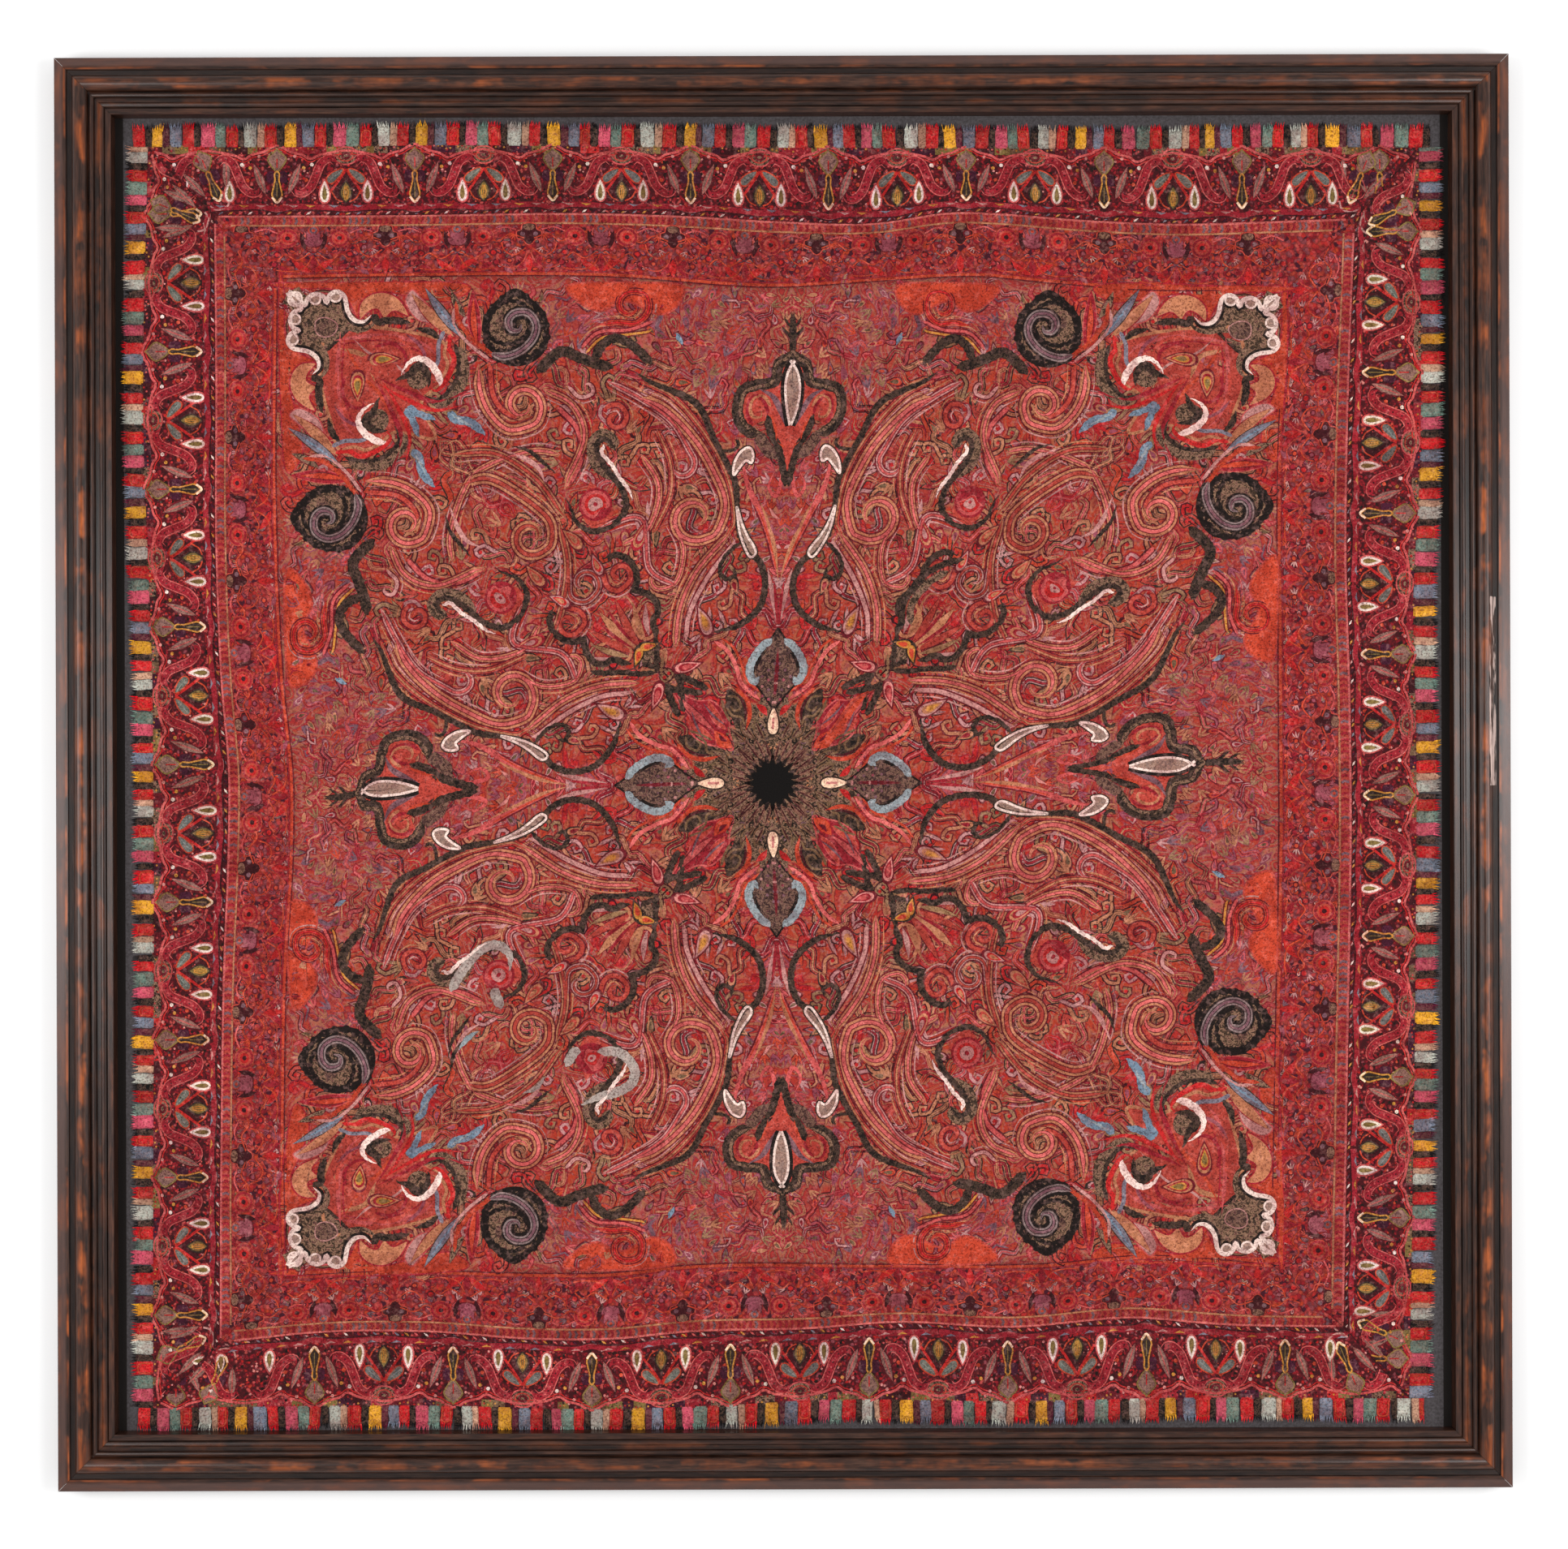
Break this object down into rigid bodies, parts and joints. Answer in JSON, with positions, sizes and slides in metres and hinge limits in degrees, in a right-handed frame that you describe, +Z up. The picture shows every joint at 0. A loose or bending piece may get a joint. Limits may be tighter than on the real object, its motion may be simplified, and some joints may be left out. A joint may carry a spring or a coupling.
{
  "type": "paisley shawl in a picture frame",
  "caption": "Square paisley shawl with two patterned borders and a block-coloured fringe, laid flat on a cloth-covered board in a stepped dark wood frame.",
  "frame": {"origin": "middle of the frame's underside, with the shawl facing up", "axes": "+X to the shawl's right, +Y to its upper edge, +Z up out of the cloth"},
  "size_m": [1.974, 1.946, 0.042],
  "materials": {
    "wood": "satin",
    "backing_felt": "matte",
    "field_wool": "matte",
    "inner_border_wool": "matte",
    "outer_border_wool": "matte",
    "star_wool": "matte",
    "fringe_wool": "matte"
  },
  "bodies": {
    "root": {"backing_board": "backing_felt", "frame_top": "wood", "frame_bottom": "wood", "frame_left": "wood", "frame_right": "wood", "field": "field_wool", "centre_star": "star_wool", "inner_border_top": "inner_border_wool", "inner_border_bottom": "inner_border_wool", "inner_border_left": "inner_border_wool", "inner_border_right": "inner_border_wool", "outer_border_top": "outer_border_wool", "outer_border_bottom": "outer_border_wool", "outer_border_left": "outer_border_wool", "outer_border_right": "outer_border_wool", "fringe_top": "fringe_wool", "fringe_bottom": "fringe_wool", "fringe_left": "fringe_wool", "fringe_right": "fringe_wool"}
  },
  "joints": []
}
